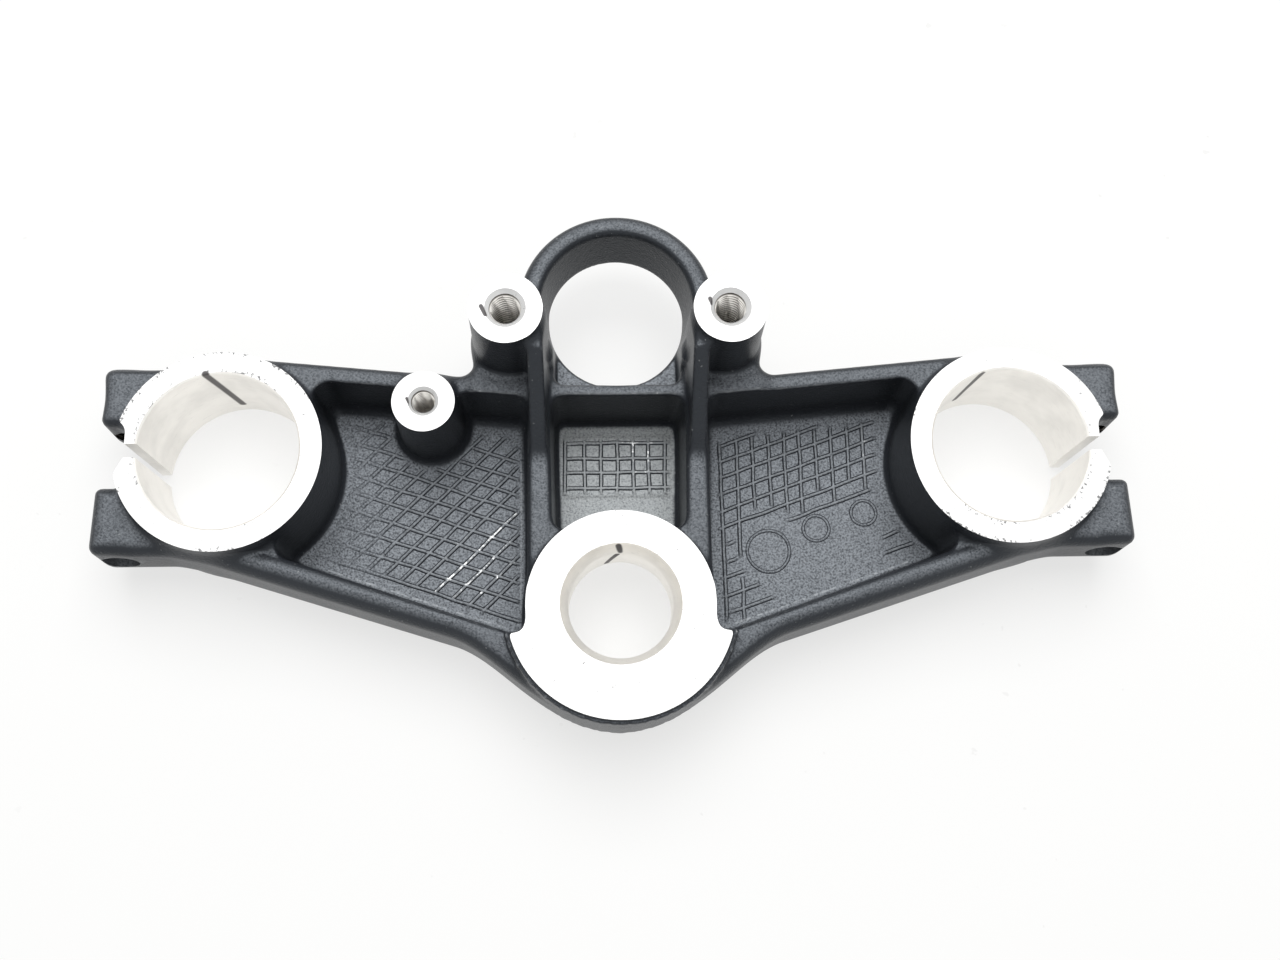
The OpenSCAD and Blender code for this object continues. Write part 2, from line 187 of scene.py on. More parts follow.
def casting(f):
    X, Y, z = f.X, f.Y, f.z
    AX = np.abs(X)

    # Arms: straight edges that run from the stem boss to a round end. The rear rim is domed
    rear = 0.3022 * AX - 0.9532 * Y - 17.92
    front = -0.0943 * AX + 0.9956 * Y - 52.76
    chord = 0.98 * AX + 0.2 * Y - 100.1
    arm = np.minimum(np.maximum(np.maximum(rear, front), chord), disc(AX, Y, *FORK, 25.0))
    stem = disc(X, Y, 0, 0, STEM_R)
    plan = round_union(arm, stem + 1.15, 14)
    deep = np.clip((-rear - 3.2) / 3.0, 0, 1) ** 2 * (1 - np.clip((-rear - 7) / 5, 0, 1))
    rim = (RIM + 0.2 - 1.2 * deep)[:, :, None].astype(np.float32)
    edge = (2.4 + 1.6 * np.clip((rear - front) / 12, 0, 1))[:, :, None].astype(np.float32)
    body = f.slab(plan, SKIN, rim, 5.5, edge)
    turn = np.arctan2(Y, X)
    rough = 0.06 * np.sin(37 * turn + 1) + 0.06 * np.sin(71 * turn + 2.2) + 0.05 * np.sin(123 * turn)
    ledge = f.slab(stem + rough, SKIN + 4, STEM_TOP - 0.7, 1.0, 0.5, draft=0.3)
    stand = disc(X, Y, 0, 0, STEM_R - 1.1)
    stand = f.slab(stand, STEM_TOP - 6, STEM_TOP + STOCK, 0.3, 0.2, draft=0.5, part=STEM_TOP)
    boss = np.maximum(round_union(ledge, stand, 0.3), f.y - 4.0)
    body = round_union(body, boss, 0.6)

    # Head with its two bosses, undercut on the smooth side
    head = outline(X, Y, [(-34.4, 44, 0), (34.4, 44, 0), (34.4, 73.6, 8.9), (-34.4, 73.6, 8.9)])
    head = f.slab(head, HEAD_Z, RIM, 3.0, 1.6, part=14)
    body = round_union(body, head, 4.0)
    key = f.slab(disc(X, Y, 0, KEY_Y, KEY_OUT), HEAD_Z, KEY_TOP, 3.0, 3.0, draft=0.8, part=14)
    key = np.maximum(key, 58 - f.y)
    body = round_union(body, key, 2.0)

    # Pockets on both sides of the long ribs, and between them
    side = outline(X, Y, [(RIB_OUT, -7.1, 4.2), (80.0, 13.3, 4.2), (71.3, 54.9, 4.2), (RIB_OUT, 50.1, 4.2)])
    at_floor = (2.2 + 1.5 * np.clip((Y - 20) / 24, 0, 1))[:, :, None].astype(np.float32)
    side = both(f.hollow(side, FLOOR, at_floor, draft=2.5))
    middle = outline(X, Y, [(-15.9, 17.9, 4.2), (15.9, 17.9, 4.2), (16.6, 50.3, 4.0), (-16.6, 50.3, 4.0)])
    patch = outline(X, Y, [(-13.3, 30.3, 1.4), (13.6, 30.3, 1.4), (13.9, 45.7, 1.4), (-13.3, 45.7, 1.4)])
    raised = (FLOOR + PATCH * np.clip(0.5 - patch / 0.8, 0, 1))[:, :, None].astype(np.float32)
    middle = f.hollow(middle, raised, 2.4, draft=3.0)
    body = round_cut(body, np.minimum(side, middle), 0.7)

    # Stem post and clamp rings, which stand in the pockets
    post = f.post(0, 0, POST_R, SKIN + 4, STEM_TOP + STOCK, 0.3, draft=1.6)
    body = round_union(body, post, 2.2)
    ring = both(f.post(*FORK, RING_R, -0.8, RING_TOP + STOCK, 0.2, draft=2.0))
    body = round_union(body, ring, 1.8)

    # Long ribs, level at the stem and climbing to the tall bosses
    t = (Y - 34.5) / 21.9
    t = np.clip(0.5 * (t + np.sqrt(t * t + 0.004)), 0, 1)
    top = (RIM + 0.1 + t * (RIB_TOP - RIM - 0.1))[:, :, None].astype(np.float32)
    inner = 15.9 + 1.4 * np.clip(Y / BOSS[1], 0, 1)
    lean = (np.clip(top - z, 0, 18) * 0.044).astype(np.float32)
    side_out = (AX - RIB_OUT)[:, :, None]
    side_in = (inner - AX)[:, :, None] - lean * np.clip((Y[:, :, None] - 40) / 10, 0, 1)
    rib = corner(np.maximum(side_out, side_in), (z - top) * 0.8, 1.0)
    under = np.where(f.y > 49, HEAD_Z + 2, SKIN + 5)
    rib = np.maximum(np.maximum(rib, np.maximum(f.y - 64, 4 - f.y)), under - z)
    body = round_union(body, rib, 2.0)

    # Tall bosses and the small boss
    tall = both(f.post(*BOSS, BOSS_R, HEAD_Z + 1, BOSS_TOP + STOCK, 0.2, draft=1.4))
    body = round_union(body, tall, 2.6)
    guide = f.post(*GUIDE, GUIDE_R, SKIN + 2, GUIDE_TOP + STOCK, 0.2, draft=2.2)
    body = round_union(body, guide, 2.8)

    # Ears of the clamps
    notch = outline(AX, Y, [(113.1, 35.0, 0), (116.1, 29.3, 1), (140, 29.3, 0), (140, 43.9, 0),
                            (113.1, 43.9, 3)])
    body = round_cut(body, notch[:, :, None].astype(np.float32), 0.5)
    near = outline(AX, Y, [(92, 13.0, 0), (121.9, 13.0, 2.6), (121.4, 29.8, 2.2), (92, 29.8, 0)])
    far = outline(AX, Y, [(92, 43.4, 0), (121.4, 43.4, 2.4), (120.8, 50.5, 20), (121.5, 59.3, 2.6),
                          (92, 58.6, 0)])
    rise = np.clip((AX - 110.5) / 7.5, 0, 1)
    rise = rise * rise * (3 - 2 * rise)
    top = (23.2 + 1.7 * rise)[:, :, None].astype(np.float32)
    near = f.slab(near, 7.0, top, 3.2, 3.2, draft=3.0, part=12)
    bevel = np.clip((Y + 0.12 * (AX - 116) - 55.6) / 4.0, 0, 1)
    top = (23.7 + 1.1 * rise - 2.6 * bevel * bevel)[:, :, None].astype(np.float32)
    far = f.slab(far, 7.4, top, 3.4, 2.4, draft=3.0, part=12)
    body = round_union(body, near, 2.2)
    body = round_union(body, far, 2.2)

    # Space for the key switch
    slope = (KEY_IN - KEY_HOLE) / (KEY_TOP - HEAD_Z)
    hole = (disc(X, Y, 0, KEY_Y, KEY_HOLE)[:, :, None] - (z - HEAD_Z) * slope).astype(np.float32)
    mouth = outline(X, Y, [(-14.8, 53.4, 2.4), (14.8, 53.4, 2.4), (14.8, 74, 2), (-14.8, 74, 2)])
    mouth = corner(mouth[:, :, None].astype(np.float32) - np.clip(z - SEAT_Z, 0, 30) * 0.03, SEAT_Z - z, 0.8)
    body = round_cut(body, np.maximum(hole, z - 30), 1.7)
    body = round_cut(body, np.maximum(mouth, z - 30), 0.8)
    return body.astype(np.float32)


def sample(f, d, p):
    """The field's value at points between the grid's own, by trilinear mixing."""
    q = (p - f.lo) / f.step
    i = np.clip(np.floor(q).astype(int), 0, np.array(d.shape) - 2)
    t = q - i
    out = np.zeros(len(p))
    for a in (0, 1):
        for b in (0, 1):
            for c in (0, 1):
                w = t[:, 0] if a else 1 - t[:, 0]
                w = w * (t[:, 1] if b else 1 - t[:, 1]) * (t[:, 2] if c else 1 - t[:, 2])
                out += w * d[i[:, 0] + a, i[:, 1] + b, i[:, 2] + c]
    return out


def settle(f, d, p, rounds=2):
    """Moves points onto the field's zero surface."""
    h = 0.5 * f.step
    for _ in range(rounds):
        g = np.stack([sample(f, d, p + h * e) - sample(f, d, p - h * e) for e in np.eye(3)], axis=1) / (2 * h)
        v = sample(f, d, p)
        n2 = np.maximum((g * g).sum(1), 0.2)
        p = p - np.clip(v / n2, -0.5, 0.5)[:, None] * g
    return p


def skin(f, d):
    """Surface nets: a quad mesh of the field's zero surface."""
    inside = d < 0
    nx, ny, nz = np.array(d.shape) - 1
    total = np.zeros((nx, ny, nz), np.uint8)
    for a in (0, 1):
        for b in (0, 1):
            for c in (0, 1):
                total += inside[a:nx + a, b:ny + b, c:nz + c]
    live = (total > 0) & (total < 8)
    cells = np.argwhere(live)
    number = np.full(live.shape, -1, np.int32)
    number[live] = np.arange(len(cells))
    pos = np.zeros((len(cells), 3))
    count = np.zeros(len(cells))
    for axis in range(3):
        others = [k for k in range(3) if k != axis]
        for u in (0, 1):
            for v in (0, 1):
                a = np.zeros(3, int)
                a[others[0]], a[others[1]] = u, v
                b = a.copy()
                b[axis] = 1
                pa, pb = cells + a, cells + b
                da = d[pa[:, 0], pa[:, 1], pa[:, 2]].astype(float)
                db = d[pb[:, 0], pb[:, 1], pb[:, 2]].astype(float)
                m = (da < 0) != (db < 0)
                t = da[m] / (da[m] - db[m])
                pos[m] += a + t[:, None] * (b - a)
                count[m] += 1
    verts = f.lo + f.step * (cells + pos / count[:, None])
    quads = []
    for axis in range(3):
        u, v = [(1, 2), (2, 0), (0, 1)][axis]
        a = np.moveaxis(inside, (axis, u, v), (0, 1, 2))
        n = np.moveaxis(number, (axis, u, v), (0, 1, 2))
        cross = a[:-1, 1:-1, 1:-1] != a[1:, 1:-1, 1:-1]
        i, j, k = np.nonzero(cross)
        ring = np.stack([n[i, j, k], n[i, j + 1, k], n[i, j + 1, k + 1], n[i, j, k + 1]], axis=1)
        flip = ~a[:-1, 1:-1, 1:-1][i, j, k]
        ring[flip] = ring[flip][:, ::-1]
        quads.append(ring)
    return settle(f, d, verts), np.concatenate(quads)


def make_mesh(name, verts, faces, kind=None):
    me = bpy.data.meshes.new(name)
    if isinstance(faces, np.ndarray):
        k = faces.shape[1]
        me.vertices.add(len(verts))
        me.vertices.foreach_set("co", np.asarray(verts, np.float32).ravel())
        me.loops.add(faces.size)
        me.loops.foreach_set("vertex_index", faces.astype(np.int32).ravel())
        me.polygons.add(len(faces))
        me.polygons.foreach_set("loop_start", (np.arange(len(faces)) * k).astype(np.int32))
        me.update(calc_edges=True)
    else:
        me.from_pydata([tuple(v) for v in verts], [], faces)
    me.validate()
    if kind is not None:
        for m in KINDS:
            me.materials.append(m)
        me.polygons.foreach_set("material_index", np.full(len(me.polygons), kind, np.int32))
    ob = bpy.data.objects.new(name, me)
    bpy.context.scene.collection.objects.link(ob)
    return ob


def apply(ob, kind, **settings):
    m = ob.modifiers.new(kind, kind)
    for key, value in settings.items():
        setattr(m, key, value)
    deps = bpy.context.evaluated_depsgraph_get()
    me = bpy.data.meshes.new_from_object(ob.evaluated_get(deps))
    ob.modifiers.clear()
    old = ob.data
    ob.data = me
    bpy.data.meshes.remove(old)


def boolean(ob, tool, operation="DIFFERENCE"):
    apply(ob, "BOOLEAN", object=tool, operation=operation, solver="MANIFOLD")
    bpy.data.objects.remove(tool)


def turned(profile, cx, cy, n=128, axis="z", kind=BORED):
    """A closed solid of revolution. The profile is (radius, height) from the bottom up."""
    verts, faces = [], []
    rings = []
    for r, h in profile:
        ids = []
        for k in range(n):
            t = 2 * math.pi * k / n
            verts.append((r * math.cos(t), r * math.sin(t), h))
            ids.append(len(verts) - 1)
        rings.append(ids)
    for a, b in zip(rings, rings[1:]):
        for k in range(n):
            m = (k + 1) % n
            faces.append((a[k], a[m], b[m], b[k]))
    faces.append(tuple(reversed(rings[0])))
    faces.append(tuple(rings[-1]))
    v = np.array(verts)
    if axis == "y":
        v = np.stack([v[:, 0], v[:, 2], -v[:, 1]], axis=1)
        v += (cx, 0, cy)
    else:
        v += (cx, cy, 0)
    return make_mesh("tool", v, faces, kind)


def box(lo, hi):
    (x0, y0, z0), (x1, y1, z1) = lo, hi
    v = [(x, y, z) for z in (z0, z1) for y in (y0, y1) for x in (x0, x1)]
    sides = [(0, 2, 3, 1), (4, 5, 7, 6), (0, 1, 5, 4), (1, 3, 7, 5), (3, 2, 6, 7), (2, 0, 4, 6)]
    return make_mesh("tool", v, sides, BORED)


def thread(cx, cy, top, depth, major, pitch, n=40, axis="z"):
    """The space inside a threaded hole: a helical groove round a core, closed at both ends."""
    minor = major - 1.08 * pitch
    per = 8
    rows = int(depth / pitch * per)
    verts, faces = [], []
    for j in range(rows + 1):
        h = -depth + depth * j / rows
        for k in range(n):
            t = 2 * math.pi * k / n
            s = (h / pitch - k / n) % 1.0
            tooth = max(0.0, min(1.0, 1.6 - 3.2 * abs(s - 0.5)))
            r = (minor + (major - minor) * tooth) / 2
            verts.append((r * math.cos(t), r * math.sin(t), h))
    for j in range(rows):
        for k in range(n):
            m = (k + 1) % n
            faces.append((j * n + k, j * n + m, (j + 1) * n + m, (j + 1) * n + k))
    faces.append(tuple(reversed(range(n))))
    last = rows * n
    faces.append(tuple(last + k for k in range(n)))
    v = np.array(verts)
    if axis == "y":
        v = np.stack([v[:, 0], -v[:, 2], v[:, 1]], axis=1)
        v += (cx, top, cy)
    else:
        v += (cx, cy, top)
    return make_mesh("tool", v, faces, THREAD)


def machine(ob):
    """Faces, bores, slits and threads that are cut after casting."""
    def level(r, z, x, y, n=160):
        """Takes off all the metal above a height, within a radius."""
        boolean(ob, turned([(r, z), (r, z + 3)], x, y, n, kind=FACED))

    def lathe(profile, top, x, y, n, kind):
        """Cuts a turned hole, whose profile counts its heights from the face."""
        boolean(ob, turned([(r, top + h) for r, h in profile], x, y, n, kind=kind))

    for side in (-1, 1):
        x, y = side * FORK[0], FORK[1]
        level(27, RING_TOP, x, y)
        boolean(ob, turned([(27, -3), (27, 0)], x, y, kind=FACED))
        boolean(ob, turned([(FORK_R + 0.9, -2), (FORK_R + 0.9, 0.2), (FORK_R, 0.9), (FORK_R, RING_TOP - 0.35),
                            (FORK_R + 0.5, RING_TOP + 0.1), (FORK_R + 0.5, RING_TOP + 4)], x, y, 160))
        a, b = sorted((x, x + side * 40))
        boolean(ob, box((a, y - SLIT / 2, -2), (b, y + SLIT / 2, 34)))
        pinch = (side * PINCH[0], PINCH[1])
        boolean(ob, turned([(PINCH_R, 5), (PINCH_R, 31)], *pinch, 48, axis="y", kind=RIDGE))
        boolean(ob, thread(*pinch, 42.9, 12.4, 8.0, M8_PITCH, axis="y"))
        x, y = side * BOSS[0], BOSS[1]
        level(12, BOSS_TOP - 0.002, x, y, 96)
        boolean(ob, thread(x, y, BOSS_TOP - 0.9, 17, 7.9, M8_PITCH))
        lathe([(3.3, -1.5), (3.5, -1.1), (4.1, -0.6), (4.7, -0.12), (4.8, 4)], BOSS_TOP, x, y, 64, FACED)
    level(12, GUIDE_TOP, *GUIDE, 96)
    boolean(ob, thread(*GUIDE, GUIDE_TOP - 0.7, 13, 5.9, M6_PITCH))
    lathe([(2.4, -1.3), (2.7, -0.9), (3.1, -0.5), (3.6, -0.12), (3.7, 4)], GUIDE_TOP, *GUIDE, 64, FACED)
    level(30, STEM_TOP, 0, 0)
    boolean(ob, turned([(NUT_R, -2), (NUT_R, NUT_TOP), (STEM_BORE, NUT_TOP), (STEM_BORE, STEM_TOP - 3.4),
                        (13.8, STEM_TOP), (14.5, STEM_TOP + 1.4)], 0, 0, 160))


# Ridges on the pocket floors, as plan coordinates in millimetres

def clipped(p0, p1, inside):
    """The stretches of a line that lie inside an area."""
    p0, p1 = np.array(p0, float), np.array(p1, float)
    n = int(np.linalg.norm(p1 - p0) / 0.4) + 2
    pts = p0 + np.linspace(0, 1, n)[:, None] * (p1 - p0)
    ok = inside(pts)
    runs, start = [], None
    for i in range(n + 1):
        if i < n and ok[i]:
            start = i if start is None else start
        elif start is not None:
            if i - start > 5:
                runs.append((pts[start], pts[i - 1]))
            start = None
    return runs


def ridge_mesh(lines, rng, width=0.56, base=FLOOR, rings=()):
    """Low ribs with a rounded section, one closed strip for each line (start, end, height) or ring.

    A height is a number or a function of x. Each strip tapers at its ends and wavers a little."""
    half = [(0.36, 0.9), (0.7, 0.5), (1, 0.02), (1, -0.5)]
    section = [(-u, v) for u, v in reversed(half)] + [(0, 1)] + half
    m = len(section)
    verts, faces = [], []

    def run(path, side, height, closed):
        first = len(verts)
        for p, n, h in zip(path, side, height):
            for u, v in section:
                q = p + n * u * width
                verts.append((q[0], q[1], base + (v * h if v > 0 else v)))
        rows = len(path)
        for j in range(rows if closed else rows - 1):
            for k in range(m):
                a = first + j * m + k
                b = first + j * m + (k + 1) % m
                c = first + ((j + 1) % rows) * m + (k + 1) % m
                d = first + ((j + 1) % rows) * m + k
                faces.append((a, b, c, d))
        if not closed:
            faces.append(tuple(first + k for k in reversed(range(m))))
            faces.append(tuple(first + (rows - 1) * m + k for k in range(m)))

    for p0, p1, h in lines:
        length = np.linalg.norm(p1 - p0)
        e = (p1 - p0) / length
        n = np.array([e[1], -e[0]])
        k = max(3, int(length / 2.2) + 1)
        tip, full = 0.5, 1.2
        t = np.concatenate([[0, tip / length], np.linspace(full / length, 1 - full / length, k),
                            [1 - tip / length, 1]])
        ease = np.interp(t * length, [0, tip, full, length - full, length - tip, length],
                         [0.06, 0.5, 1, 1, 0.5, 0.06])
        knots = np.arange(0, length + 5, 4.0)
        wobble = np.interp(t * length, knots, rng.normal(0, 0.09, len(knots)))
        path = p0 + t[:, None] * (p1 - p0) + wobble[:, None] * n
        if callable(h):
            h = h(path[:, 0])
        tall = h * ease * (1 + rng.normal(0, 0.08, len(t)))
        run(path, np.repeat(n[None], len(t), 0), tall, False)
    for x, y, r, h in rings:
        a = np.linspace(0, 2 * math.pi, 40, endpoint=False)
        n = np.stack([np.cos(a), np.sin(a)], 1)
        wave = r * (1 + 0.012 * np.sin(3 * a + r))
        run(np.array([x, y]) + n * wave[:, None], n, np.full(len(a), h), True)
    return make_mesh("ridges", np.array(verts), faces, RIDGE)


LEFT_AREA = [(-74, 15.6, 0), (-49, 7.6, 0), (-33, 0.8, 0), (-27, -2.2, 0), (-22.8, -2.6, 1.5),
             (-23.8, 46.3, 2.5), (-36, 47.2, 0), (-57, 51.3, 0), (-66.3, 51.3, 2.0), (-65.2, 36, 0),
             (-66, 30, 0), (-68, 26, 0), (-73, 20, 0)]
RIGHT_AREA = [(23.4, -3.0, 1.0), (28, -2.6, 0), (74, 13.4, 0), (72, 22, 0), (68, 31, 0), (66, 35, 0),
              (65.8, 40, 0), (66.3, 49.4, 0), (65, 50.2, 0), (30, 46.3, 0), (24.3, 44.6, 1.0)]
# Lines that fall to the right, by their y at x = -45, and lines that rise to the right, by their x at y = 10
LEFT_FALL = (46.2, 41.8, 37.8, 33.8, 29.5, 25.2, 20.6, 16.0, 11.4, 6.8, 2.5)
LEFT_RISE = (-97.6, -92.0, -86.4, -80.7, -75.0, -69.3, -63.6, -57.9, -52.6, -47.5, -41.3, -35.4, -29.9, -24.9)
# Lines across the right pocket: their x at y = 45 with the y at which they end, and their y at x = 45
RIGHT_UP = ((25.8, -1.0), (29.9, 14.5), (33.9, 26.5), (38.0, 27.0), (42.0, 25.5), (45.8, 25.3), (49.8, 31.0),
            (53.8, 27.5), (57.9, 33.0), (61.9, 31.3))
RIGHT_ACROSS = (50.0, 46.0, 41.9, 37.6, 33.4, 29.2)
RIGHT_STUBS = (((41.3, 23.6), (63.5, 31.7)), ((26.1, 17.7), (29.3, 19.1)), ((26.1, 13.5), (29.5, 14.6)),
               ((24.9, 9.2), (31.5, 11.5)), ((25.2, 4.8), (35, 8.4)), ((26.4, 1.1), (38, 5)),
               ((64.5, 19.1), (70, 21.2)), ((64.9, 15.2), (73.4, 18.1)))
BLANK_RINGS = ((36.9, 16.2, 5.2), (48.9, 21.8, 3.2), (60.9, 25.6, 3.1))
MIDDLE_UP = (-12.9, -8.1, -4.0, 0.0, 4.1, 7.9, 11.9)
MIDDLE_ACROSS = (44.1, 40.0, 36.4, 32.5)
# Ridges whose paint has worn through, as (start, end, strength)
WORN = (((-49, 8.8), (-35.7, 21.4), 0.62), ((-35.7, 21.4), (-26.4, 29.7), 0.5),
        ((-44.8, 6.3), (-24.9, 26.4), 1.0), ((-39.6, 5.7), (-26.4, 19.1), 0.85),
        ((-35.9, 4), (-25.7, 14.2), 0.75), ((-33.2, 0.9), (-24.9, 9.2), 0.5),
        ((61.9, 31.3), (62.0, 48), 0.6), ((4.1, 36.5), (4.1, 44), 0.8), ((7.9, 36.5), (7.9, 44), 0.8),
        ((11.9, 36.5), (11.9, 44), 0.6), ((2, 44.1), (13.5, 44.1), 0.7), ((-13, 44.1), (2, 44.1), 0.35))


def ridges(ob):
    """Joins the ridges to the pocket floors, in groups of lines that don't cross each other."""
    rng = np.random.default_rng(7)

    def within(area, hole=None):
        def test(p):
            ok = outline(p[:, 0], p[:, 1], area) < -0.4
            if hole:
                ok &= np.hypot(p[:, 0] - hole[0], p[:, 1] - hole[1]) > hole[2]
            return ok
        return test

    left = within(LEFT_AREA, (*GUIDE, 10.0))
    right = within(RIGHT_AREA)

    def faded(x):
        """Height of a ridge in the left pocket, which is worn flat towards the clamp."""
        return 0.16 + 0.16 * np.clip((x + 66) / 16, 0, 1)

    def runs(ends, area, height):
        return [(a, b, height) for p0, p1 in ends for a, b in clipped(p0, p1, area)]

    def whole(ends, height):
        return [(np.array(a), np.array(b), height) for a, b in ends]

    fall = runs([((-80, y + 12.25), (-20, y - 8.5)) for y in LEFT_FALL], left, faded)
    climb = runs([((x - 18, -8), (x + 44, 54)) for x in LEFT_RISE], left, faded)
    up = runs([((x - 0.15, 51), (x + 0.15 * (45 - end) / 30, end)) for x, end in RIGHT_UP], right, 0.33)
    up += runs([((30.2, 10.4), (30.3, -2))], right, 0.3)
    across = runs([((20, y - 9.13), (80, y + 12.78)) for y in RIGHT_ACROSS], right, 0.33)
    across += whole(RIGHT_STUBS, 0.3)
    middle_up = whole([((x, 30.8), (x, 45.4)) for x in MIDDLE_UP], 0.34)
    middle_across = whole([((-12.9, y), (13.4, y)) for y in MIDDLE_ACROSS], 0.34)
    for lines in (fall, climb, up, across):
        boolean(ob, ridge_mesh(lines, rng), "UNION")
    for lines in (middle_up, middle_across):
        boolean(ob, ridge_mesh(lines, rng, base=FLOOR + PATCH), "UNION")
    rings = [(x, y, r, 0.22) for x, y, r in BLANK_RINGS]
    boolean(ob, ridge_mesh([], rng, width=0.45, rings=rings), "UNION")


def near_segment(p, a, b):
    """Distance of points from the stretch between a and b."""
    a, b = np.array(a, float), np.array(b, float)
    t = np.clip(((p - a) @ (b - a)) / ((b - a) @ (b - a)), 0, 1)
    return np.linalg.norm(p - a - t[:, None] * (b - a), axis=1)


def finish_surface(ob, f, d):
    """Normals from the field on the cast skin, and a measure of how exposed each point is to wear."""
    me = ob.data
    nv, nl, npoly = len(me.vertices), len(me.loops), len(me.polygons)
    co = np.empty(nv * 3, np.float32)
    me.vertices.foreach_get("co", co)
    co = co.reshape(-1, 3).astype(float)
    kind = np.empty(npoly, np.int32)
    me.polygons.foreach_get("material_index", kind)
    total = np.empty(npoly, np.int32)
    me.polygons.foreach_get("loop_total", total)
    loop_v = np.empty(nl, np.int32)
    me.loops.foreach_get("vertex_index", loop_v)
    loop_kind = np.repeat(kind, total)
    me.polygons.foreach_set("use_smooth", np.ones(npoly, bool))
    me.set_sharp_from_angle(angle=math.radians(32))
    normals = np.empty(nl * 3, np.float32)
    me.corner_normals.foreach_get("vector", normals)
    normals = normals.reshape(-1, 3)
    h = 0.7 * f.step
    g = np.stack([sample(f, d, co + h * e) - sample(f, d, co - h * e) for e in np.eye(3)], axis=1)
    g /= np.maximum(np.linalg.norm(g, axis=1, keepdims=True), 1e-9)
    skin_loop = (loop_kind == PAINT) & ((normals * g[loop_v]).sum(1) > 0.6)
    normals[skin_loop] = g[loop_v[skin_loop]]
    flat = np.empty(npoly * 3, np.float32)
    me.polygon_normals.foreach_get("vector", flat)
    cut = loop_kind == THREAD
    normals[cut] = np.repeat(flat.reshape(-1, 3), total, axis=0)[cut]
    me.normals_split_custom_set(normals.tolist())

    h = 0.9
    lap = sum(sample(f, d, co + h * e) + sample(f, d, co - h * e) for e in np.eye(3)) - 6 * sample(f, d, co)
    wear = 0.72 * np.clip((lap / h - 0.5) / 1.0, 0, 1)
    paint_v = np.zeros(nv, bool)
    paint_v[loop_v[loop_kind == PAINT]] = True
    metal_v = np.zeros(nv, bool)
    metal_v[loop_v[(loop_kind == FACED) | (loop_kind == BORED)]] = True
    wear[paint_v & metal_v] = 0.3
    ridge_v = np.zeros(nv, bool)
    ridge_v[loop_v[loop_kind == RIDGE]] = True
    worn = np.full(nv, 0.58)
    for a, b, much in WORN:
        worn = np.maximum(worn, (0.45 + 0.42 * much) * (near_segment(co[:, :2], a, b) < 0.7))
    base = np.where((np.abs(co[:, 0]) < 18) & (co[:, 1] > 25), FLOOR + PATCH, FLOOR)
    up = np.clip((co[:, 2] - base - 0.15) / 0.1, 0, 1)
    wear[ridge_v] = (worn * up)[ridge_v]
    layer = me.attributes.new("wear", "FLOAT", "POINT")
    layer.data.foreach_set("value", wear.astype(np.float32))
    kind[kind == RIDGE] = PAINT
    me.polygons.foreach_set("material_index", kind)
    me.materials.pop(index=RIDGE)


def build():
    cast_triangles = 120000
    f = Field(0.5)
    d = casting(f)
    verts, quads = skin(f, d)
    ob = make_mesh("casting", verts, quads, PAINT)
    apply(ob, "DECIMATE", ratio=min(1.0, cast_triangles / (2 * len(quads))))
    machine(ob)
    ridges(ob)
    finish_surface(ob, f, d)
    return ob


# Materials

